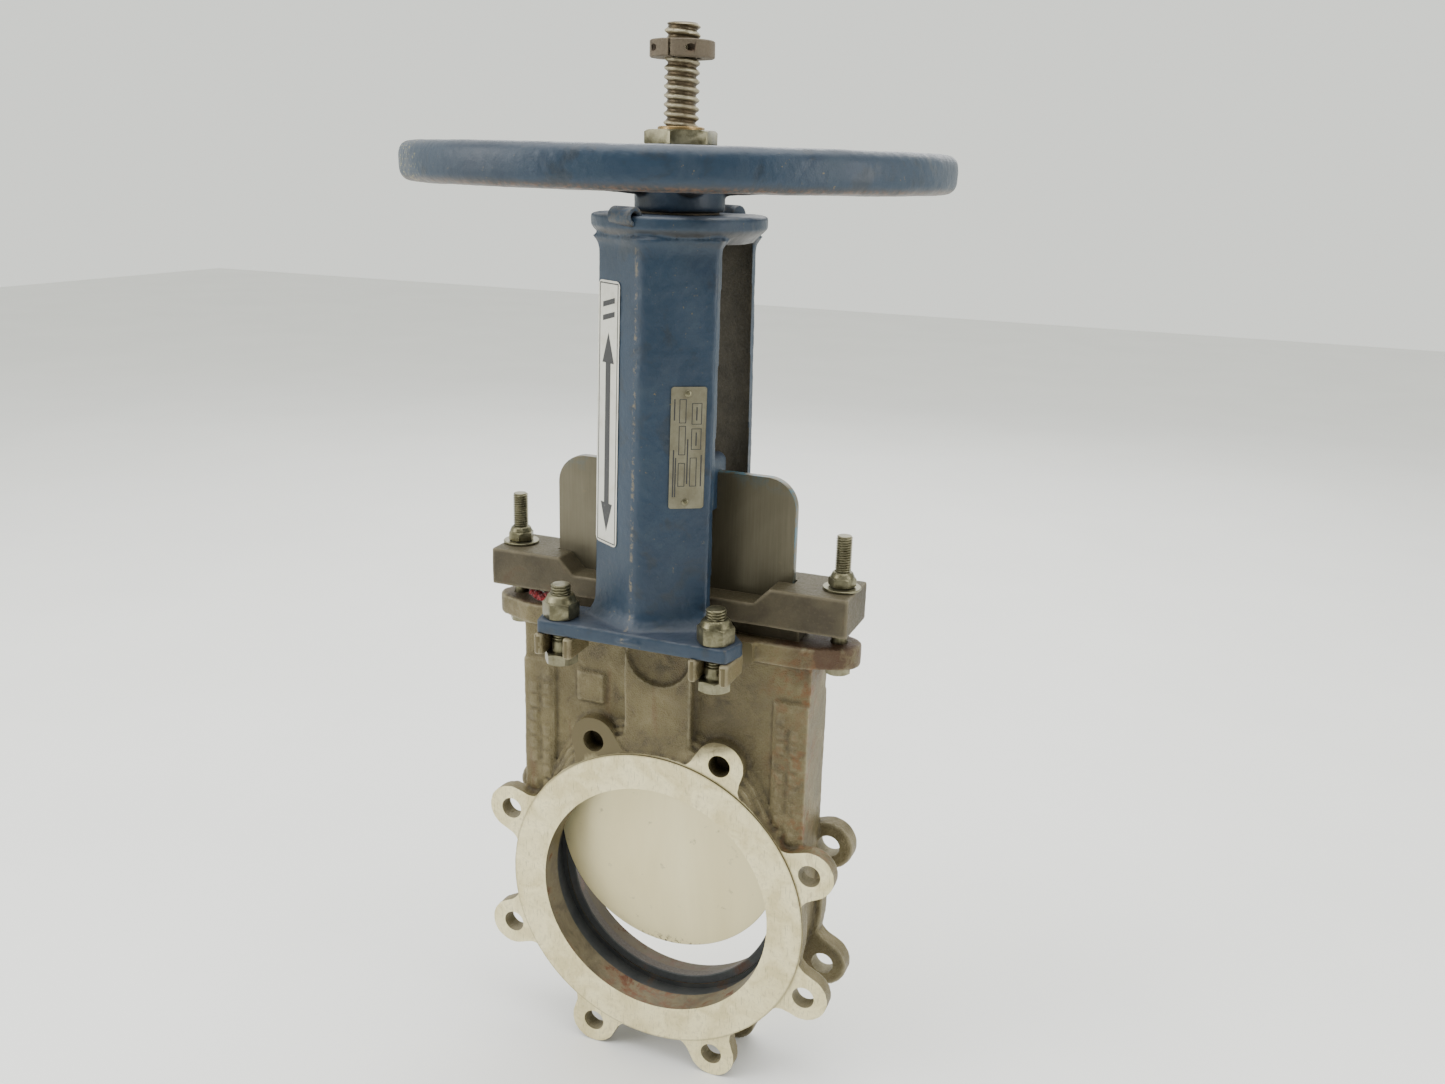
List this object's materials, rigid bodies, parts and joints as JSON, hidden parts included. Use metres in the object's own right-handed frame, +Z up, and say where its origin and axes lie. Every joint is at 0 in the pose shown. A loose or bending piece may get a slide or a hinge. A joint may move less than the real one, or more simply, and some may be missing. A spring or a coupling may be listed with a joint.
{
  "type": "gate valve",
  "caption": "Knife gate valve with lugged flanges, rising threaded stem, two-legged yoke and handwheel; the plate gate slides up through a packing gland.",
  "frame": {"origin": "under the stem axis, on the surface that the lowest flange lugs stand on", "axes": "+Z up along the stem, Y along the pipe bore with the front flange at -Y, X to the right seen from the front"},
  "size_m": [0.408, 0.408, 0.8626],
  "materials": {
    "cast_stainless": "sand-cast stainless with rust stains, machined pale faces",
    "seat_metal": "dark satin",
    "gate_stainless": "ground sheet",
    "gland_steel": "rough cast, brown",
    "blue_paint": "dusty semi-gloss enamel on casting",
    "zinc_plate": "dull zinc plate",
    "bronze": "machined",
    "stem_steel": "weathered machined steel",
    "rusty_steel": "rusted",
    "packing_fibre": "braided fibre",
    "nameplate_metal": "thin satin plate",
    "label_vinyl": "printed vinyl"
  },
  "bodies": {
    "valve_body": {"body": "cast_stainless", "gland_bolt_1": "zinc_plate", "gland_bolt_2": "zinc_plate", "gland_nut_1": "zinc_plate", "gland_nut_2": "zinc_plate", "gland_washer_1": "zinc_plate", "gland_washer_2": "zinc_plate", "label": "label_vinyl", "lower_thrust_washer": "bronze", "nameplate": "nameplate_metal", "nameplate_pin_1": "zinc_plate", "nameplate_pin_2": "zinc_plate", "packing_gland": "gland_steel", "packing_ring_1": "packing_fibre", "packing_ring_2": "packing_fibre", "packing_ring_3": "packing_fibre", "packing_ring_4": "packing_fibre", "seat_ring": "seat_metal", "upper_thrust_washer": "bronze", "yoke": "blue_paint", "yoke_bolt_1": "zinc_plate", "yoke_bolt_2": "zinc_plate", "yoke_bolt_3": "zinc_plate", "yoke_bolt_4": "zinc_plate", "yoke_bush": "bronze", "yoke_nut_1": "zinc_plate", "yoke_nut_2": "zinc_plate", "yoke_nut_3": "zinc_plate", "yoke_nut_4": "zinc_plate"},
    "wheel": {"handwheel": "blue_paint", "stem_nut": "bronze", "wheel_nut": "zinc_plate", "wheel_key": "stem_steel"},
    "gate_lift": {"clevis_bolt_1": "stem_steel", "clevis_bolt_2": "stem_steel", "clevis_nut_1": "stem_steel", "clevis_nut_2": "stem_steel", "collar_screw": "stem_steel", "gate": "gate_stainless", "stem": "stem_steel", "stem_clevis": "blue_paint", "stop_collar": "rusty_steel"}
  },
  "joints": [
    {"name": "wheel_turn", "type": "hinge", "parent": "valve_body", "child": "wheel", "pos_m": [0, 0, 0.75884], "axis": [0, 0, 1], "range_deg": [-2660, 9150]},
    {"name": "gate_slide", "type": "slide", "parent": "valve_body", "child": "gate_lift", "axis": [0, 0, 1], "range_m": [-0.047, 0.1615]}
  ],
  "couplings": [
    {"joint": "gate_slide", "follows": "wheel_turn", "m_per_rad": 0.0010106}
  ]
}
